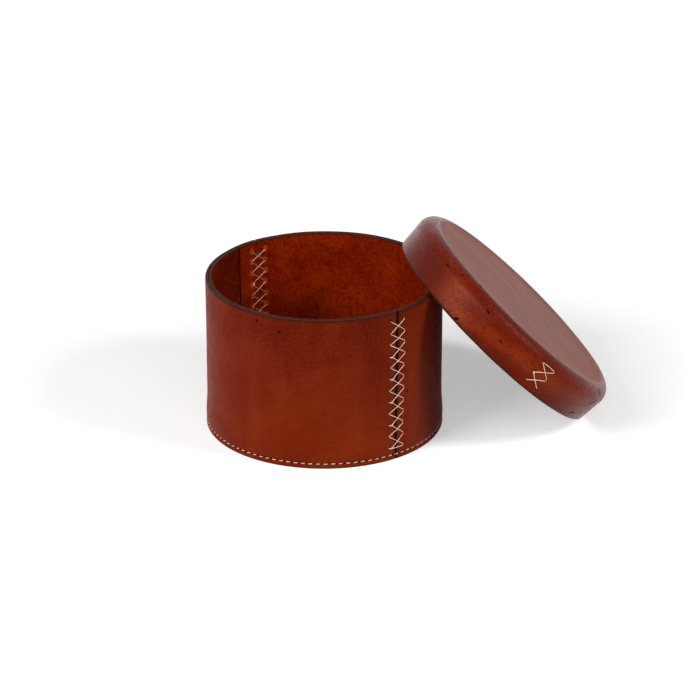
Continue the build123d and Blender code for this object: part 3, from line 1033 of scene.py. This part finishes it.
def leatherMaterial(name, look, nicks=()):
    shader = Shader(bpy.data.materials.new(name))
    place = shader.attribute("skin", "Vector")
    # Dye and painted light: slow clouds, drawn-out streaks, a fine mottle, and the patches painted on the
    # mesh, some of which are painted light and shade
    cloud = shader.noise(place, look["cloudScale"], 4.0, 0.55, 0.6)
    streak = shader.noise(shader.stretched(place, look["streakStretch"]), look["streakScale"], 4.0, 0.6)
    mottle = shader.noise(place, look["mottleScale"], 3.0, 0.65)
    crown = shader.attribute("crown")
    flatTop, evenTop = (shader.maths("SUBTRACT", 1.0, shader.times(crown, look[key]))
                        for key in ("crownFlat", "crownEven"))
    wander = shader.between(mottle, *look["wanderSpan"])
    deep = shader.times(shader.attribute("deep"), wander)
    colour = shader.mix(shader.between(cloud, *look["cloudSpan"]), look["deep"], look["middle"])
    colour = shader.over(colour, look["bright"], shader.between(streak, *look["streakSpan"]),
                         look["streakShare"], flatTop)
    # The tan and deep patches are partly dye and partly painted light and shade, as listed with the clouds
    colour = shader.over(colour, look["tan"], shader.attribute("tan"), wander, look["tanShare"])
    colour = shader.over(colour, look["dark"], deep, look["deepShare"])
    # Painted sheen: the top of the lid gets a lighter, browner tone in place of the grazing reflection there
    colour = shader.over(colour, look["crownSheenTone"], crown, look["crownSheenShare"])
    colour = shader.over(colour, look["dark"], shader.between(mottle, *look["darkSpan"]),
                         look["mottleShare"], evenTop)
    colour = shader.over(colour, look["bright"], shader.between(mottle, *look["paleSpan"]),
                         look["paleShare"])
    # Healed marks, specks and nicks
    cells = shader.add("ShaderNodeTexVoronoi", {"Vector": place, "Scale": look["speckScale"]})
    chance = shader.add("ShaderNodeSeparateColor", {"Color": cells.outputs["Color"]}).outputs[0]
    size = shader.between(chance, look["speckChance"], 1.0, *look["speckSizes"])
    speck = shader.times(shader.maths("LESS_THAN", cells.outputs["Distance"], size),
                         shader.maths("GREATER_THAN", chance, look["speckChance"]), look["speckShare"])
    if nicks:
        speck = shader.maths("MAXIMUM", speck, shader.nicks(place, nicks, look))
    colour = shader.over(colour, look["slit"], speck)
    # Stretched lips of the awl slits, partly a painted highlight, burnished edges, and the painted black
    # shade inside the slits and seams
    broken = shader.between(shader.noise(place, look["burnishScale"], 3.0, 0.6), *look["burnishSpan"])
    burnish = shader.times(shader.attribute("burnish"), broken)
    colour = shader.over(colour, look["lip"], shader.attribute("lip"), wander, look["lipShare"])
    colour = shader.over(colour, look["edge"], burnish)
    colour = shader.over(colour, look["slit"], shader.attribute("slit"), look["slitShare"])
    # Gloss: uneven, but less so on the top of the lid
    rough = shader.between(shader.noise(place, look["glossScale"], 3.0, 0.6), 0.3, 0.7,
                           look["roughLow"], look["roughHigh"])
    rough = shader.mix(shader.times(crown, look["crownGloss"]), rough,
                       (look["roughLow"] + look["roughHigh"]) / 2, "FLOAT")
    rough = shader.plus(rough, shader.times(deep, look["deepRough"]))
    rough = shader.mix(speck, rough, 1.0, "FLOAT")
    rough = shader.plus(rough, shader.times(burnish, look["edgeRough"]))
    rough = shader.plus(rough, shader.times(crown, look["crownRough"]))
    # Grain: pores and fine creases
    pores = shader.add("ShaderNodeTexVoronoi", {"Vector": place, "Scale": look["poreScale"]},
                       feature="DISTANCE_TO_EDGE").outputs["Distance"]
    fine = shader.noise(shader.stretched(place, look["grainStretch"]), look["grainScale"], 4.0, 0.65)
    grain = shader.plus(shader.times(shader.between(pores, 0.0, look["poreWide"]), look["poreShare"]),
                        shader.times(fine, look["fineShare"]))
    height = shader.maths("SUBTRACT", shader.times(grain, flatTop), shader.times(speck, look["speckDeep"]))
    bump = shader.add("ShaderNodeBump", {"Strength": look["grainStrength"],
                                         "Distance": look["grainDeep"] * mm, "Height": height})
    slow = shader.add("ShaderNodeBump", {
        "Strength": 1.0, "Distance": look["slowDeep"] * mm,
        "Height": shader.noise(place, look["slowScale"], 2.0, 0.5), "Normal": bump.outputs[0]})
    return shader.finish(shader.add("ShaderNodeBsdfPrincipled", {
        "Base Color": colour, "Roughness": rough, "Normal": slow.outputs[0],
        "Specular IOR Level": look["specular"], "Specular Tint": look["tint"]}))


outerLook = {                    # scales are a metre, depths are millimetres
    "deep": colourOf(98, 23, 7),
    "middle": colourOf(109, 33, 11),
    "bright": colourOf(126, 47, 17),
    "dark": colourOf(72, 10, 1),
    "tan": colourOf(134, 47, 9),
    "edge": colourOf(36, 20, 12),
    "slit": colourOf(18, 6, 3),
    "lip": colourOf(120, 36, 12),
    # painted sheen on the top of the lid: a lighter, browner tone
    "crownSheenTone": colourOf(130, 72, 50),
    "cloudScale": 26.0,
    "cloudSpan": (0.36, 0.66),
    "streakStretch": (1.0, 1.0, 0.25),
    "streakScale": 60.0,
    "streakSpan": (0.44, 0.74),
    "streakShare": 0.35,
    "mottleScale": 520.0,
    "wanderSpan": (0.3, 0.7, 0.55, 1.0),
    "darkSpan": (0.50, 0.66),
    "mottleShare": 0.35,
    "paleSpan": (0.47, 0.30),
    "paleShare": 0.3,
    "tanShare": 0.6,
    "deepShare": 0.7,
    "deepRough": 0.3,            # deeply dyed places are duller
    "crownSheenShare": 0.0,           # how much painted sheen tone the top of the lid has
    "crownFlat": 0.75,           # how much less grain and streaks
    "crownEven": 0.5,            # how much less mottle
    "crownGloss": 0.85,          # how much less uneven gloss
    "crownRough": 0.0,
    "speckScale": 60.0,
    "speckShare": 0.8,
    "speckChance": 0.82,
    "speckSizes": (0.02, 0.055),
    "speckDeep": 2.0,
    "ragged": 0.7,
    "raggedScale": 1100.0,
    "lipShare": 0.2,
    "slitShare": 0.95,
    "burnishScale": 700.0,
    "burnishSpan": (0.3, 0.7, 0.75, 1.0),
    "glossScale": 160.0,
    "roughLow": 0.40,
    "roughHigh": 0.54,
    "edgeRough": -0.04,
    "poreScale": 1300.0,
    "poreWide": 0.22,
    "poreShare": 0.4,
    "fineShare": 0.8,
    "grainScale": 900.0,
    "grainStretch": (1.0, 1.0, 1.0),
    "grainStrength": 0.4,
    "grainDeep": 0.10,
    "slowScale": 130.0,
    "slowDeep": 0.05,
    "specular": 0.055,
    "tint": (1.0, 0.45, 0.3, 1.0),
}
lidLook = dict(
    outerLook, deep=colourOf(85, 9, 0), middle=colourOf(97, 16, 0), bright=colourOf(120, 32, 4),
    tan=colourOf(146, 52, 6), cloudScale=22.0, streakStretch=(0.3, 0.3, 1.6), streakScale=70.0,
    streakShare=0.4, mottleScale=470.0, mottleShare=0.85, paleShare=0.25, tanShare=0.7,
    deepShare=0.9, crownSheenShare=0.5, crownRough=0.225, glossScale=520.0, roughLow=0.18,
    roughHigh=0.38, poreScale=1000.0, poreShare=0.12, grainScale=680.0,
    grainStretch=(1.0, 1.0, 0.4), grainStrength=1.0, grainDeep=0.27, specular=0.172)
# The lining's bright orange lip tone round the holes is partly a painted highlight
liningLook = dict(
    outerLook, deep=colourOf(110, 20, 0), middle=colourOf(128, 31, 1), bright=colourOf(144, 46, 4),
    dark=colourOf(66, 7, 0), tan=colourOf(154, 54, 5), lip=colourOf(205, 84, 20), cloudScale=40.0,
    streakShare=0.2, mottleScale=640.0, mottleShare=0.75, paleShare=0.5, tanShare=0.8,
    deepShare=0.95, deepRough=0.1, speckShare=0.3, lipShare=0.85, roughLow=0.5, roughHigh=0.62,
    grainStrength=0.35, specular=0.08)
baseLook = dict(
    liningLook, deep=colourOf(92, 18, 3), middle=colourOf(110, 27, 5), mottleScale=380.0,
    streakStretch=(1.0, 0.3, 1.0), lipShare=0.2)
lidNicks = (                     # degrees from the low end and length from the rim of both ends, half width
    (-40, 27.5, -39, 23.0, 0.65), (-41, 19.0, -44, 15.0, 0.7), (-49, 5.5, -51, 4.5, 0.75),
    (-129, 1.5, -128, 3.0, 1.0), (-133, 30.0, -132, 29.5, 0.8), (-121, 20.5, -120, 20.0, 0.75),
    (-141, 24.0, -142, 23.0, 0.6), (-150, 20.5, -149, 20.5, 0.7), (-108, 13.0, -107, 12.5, 0.5),
    (70, 15.0, 71, 12.0, 0.8), (140, 8.0, 142, 8.5, 0.7), (20, 22.0, 18, 20.0, 0.7))
wallNicks = (                    # arc from the front seam and height of both ends, half width
    (-92.6, 95.6, -92.4, 94.8, 0.85), (-77.2, 90.4, -76.2, 90.7, 0.8),
    (9.1, 44.2, 9.2, 43.4, 0.75), (120.0, 40.0, 121.5, 41.0, 0.8))
# A panel may lie in either of two turns round
wallNickLines = [((a + turn, 0, b), (c + turn, 0, d), half)
                 for a, b, c, d, half in wallNicks for turn in (0, wallRound)]
lidNickLines = [(lidLocal(lidArc(a), b, 0.0), lidLocal(lidArc(c), d, 0.0), half)
                for a, b, c, d, half in lidNicks]
outerLeather = leatherMaterial("russetOuterLeather", outerLook, wallNickLines)
lidLeather = leatherMaterial("russetLidLeather", lidLook, lidNickLines)
liningLeather = leatherMaterial("russetLiningLeather", liningLook)
baseLeather = leatherMaterial("russetBaseLeather", baseLook)

threadLook = {
    "pale": colourOf(236, 210, 184),
    "warm": colourOf(218, 189, 158),
    "darkened": colourOf(112, 54, 26),
    "rough": 0.6,
    "toneScale": 240.0,
    "fuzzScale": 2600.0,
    "fuzzDeep": 0.04,
}


def threadMaterial(name, look):
    shader = Shader(bpy.data.materials.new(name))
    place = shader.add("ShaderNodeTexCoord").outputs["Object"]
    tone = shader.noise(place, look["toneScale"], 3.0, 0.6)
    fibre = shader.noise(place, look["fuzzScale"], 3.0, 0.7)
    colour = shader.mix(shader.between(tone, 0.35, 0.7), look["pale"], look["warm"])
    colour = shader.mix(shader.between(fibre, 0.5, 0.8, 0.0, 0.4), colour, look["warm"])
    colour = shader.mix(shader.attribute("darkening"), colour, look["darkened"])
    bump = shader.add("ShaderNodeBump", {
        "Strength": 0.5, "Distance": look["fuzzDeep"] * mm, "Height": fibre})
    return shader.finish(shader.add("ShaderNodeBsdfPrincipled", {
        "Base Color": colour, "Roughness": look["rough"], "Normal": bump.outputs[0],
        "Specular IOR Level": 0.3, "Sheen Weight": 0.15, "Sheen Roughness": 0.5}))


waxedThread = threadMaterial("creamWaxedThread", threadLook)
print("materials made")


# What each piece stands for, its body, its material and its slot

def dress(piece, node, body, material):
    piece.data.materials.append(material)
    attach(piece, body)
    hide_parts(node)


dress(outerWallFront, "outer_wall_front", "box", outerLeather)
dress(outerWallBack, "outer_wall_back", "box", outerLeather)
dress(wallLining, "wall_lining", "box", liningLeather)
dress(basePan, "base_pan", "box", baseLeather)
dress(frontSeamLacing, "front_seam_lacing", "box", waxedThread)
dress(backSeamLacing, "back_seam_lacing", "box", waxedThread)
dress(baseStitching, "base_stitching", "box", waxedThread)
dress(lidCap, "lid_cap", "lid", lidLeather)
dress(lidLining, "lid_lining", "lid", liningLeather)
dress(lidLacing, "lid_lacing", "lid", waxedThread)
print("pieces dressed")


# Floor, lights and camera, in metres

studio = {
    "floorHalf": 4.0,
    "floorDrop": 0.05 * mm,      # the floor lies just below the box
    "floorTone": 0.68,           # what the floor gives back of the lamps
    "floorGlow": 0.42,           # added where the camera, gloss or glass looks at it
    "nearBy": 0.2,               # the glow grows from here out to farOff, where the floor is white
    "farOff": 0.7,
    "worldLight": 0.10,
    "worldWhite": 1.0,
    "aim": (0.03, 0, 0.05),      # what the lamps point at
}
camera = {
    "distance": 2.069,
    "elevation": math.radians(24.96),
    "yaw": math.radians(0.50),
    "pitch": math.radians(23.75),
    "lens": 164.8,
    "sensor": 36,
}
lamps = {                        # degrees from +X, degrees above the ground, metres, watts
    "left": {"azimuth": -142, "elevation": 34, "away": 1.7, "wide": 0.9, "high": 0.6, "power": 25},
    "right": {"azimuth": -24, "elevation": 36, "away": 1.9, "wide": 0.35, "high": 0.55, "power": 20},
    "front": {"azimuth": -88, "elevation": 35, "away": 2.2, "wide": 2.0, "high": 1.2, "power": 13},
}


def seenOrMirrored(shader):
    # 1 for what the camera, gloss and glass see
    path = shader.add("ShaderNodeLightPath").outputs
    both = shader.maths("MAXIMUM", path["Is Camera Ray"], path["Is Glossy Ray"])
    return shader.maths("MAXIMUM", both, path["Is Transmission Ray"])


def makeFloor():
    half = studio["floorHalf"] / mm
    corners = [(-half, -half, 0), (half, -half, 0), (half, half, 0), (-half, half, 0)]
    floor = makeMesh("studioFloor", corners, [(0, 1, 2, 3)])
    floor.location.z = -studio["floorDrop"]
    shader = Shader(bpy.data.materials.new("studioFloorPaint"))
    tone = studio["floorTone"]
    paint = shader.add("ShaderNodeBsdfDiffuse", {"Color": (tone, tone, tone, 1)})
    place = shader.add("ShaderNodeTexCoord").outputs["Object"]
    away = shader.vector("LENGTH", place, (0, 0, 0), "Value")
    share = shader.between(away, studio["nearBy"], studio["farOff"], studio["floorGlow"], 1.0)
    glow = shader.add("ShaderNodeEmission", {
        "Color": (1, 1, 1, 1), "Strength": shader.times(seenOrMirrored(shader), share)})
    both = shader.add("ShaderNodeAddShader", {0: paint.outputs[0], 1: glow.outputs[0]})
    floor.data.materials.append(shader.finish(both))


def makeWorld():
    world = bpy.data.worlds.new("studioWorld")
    bpy.context.scene.world = world
    shader = Shader(world, "ShaderNodeOutputWorld")
    strength = shader.mix(seenOrMirrored(shader), studio["worldLight"], studio["worldWhite"], "FLOAT")
    shader.finish(shader.add("ShaderNodeBackground", {"Color": (1, 1, 1, 1), "Strength": strength}))


def makeLamps():
    for name, lamp in lamps.items():
        light = bpy.data.lights.new(name + "Softbox", "AREA")
        light.shape = "RECTANGLE"
        light.size, light.size_y = lamp["wide"], lamp["high"]
        light.energy = lamp["power"]
        azimuth, elevation = math.radians(lamp["azimuth"]), math.radians(lamp["elevation"])
        way = Vector((math.cos(elevation) * math.cos(azimuth),
                      math.cos(elevation) * math.sin(azimuth), math.sin(elevation)))
        holder = bpy.data.objects.new(name + "Softbox", light)
        holder.location = Vector(studio["aim"]) + lamp["away"] * way
        holder.rotation_euler = (-way).to_track_quat("-Z", "Y").to_euler()
        bpy.context.scene.collection.objects.link(holder)


def makeCamera():
    data = bpy.data.cameras.new("studioCamera")
    data.sensor_width = camera["sensor"]
    data.lens = camera["lens"]
    holder = bpy.data.objects.new("studioCamera", data)
    away, high = camera["distance"], camera["elevation"]
    holder.location = (0, -away * math.cos(high), away * math.sin(high))
    yaw, pitch = camera["yaw"], camera["pitch"]
    ahead = Vector((math.cos(pitch) * math.sin(yaw), math.cos(pitch) * math.cos(yaw),
                    -math.sin(pitch)))
    holder.rotation_euler = ahead.to_track_quat("-Z", "Y").to_euler()
    bpy.context.scene.collection.objects.link(holder)
    bpy.context.scene.camera = holder


makeFloor()
makeWorld()
makeLamps()
makeCamera()
bpy.context.scene.view_settings.view_transform = "Standard"
print("studio set")
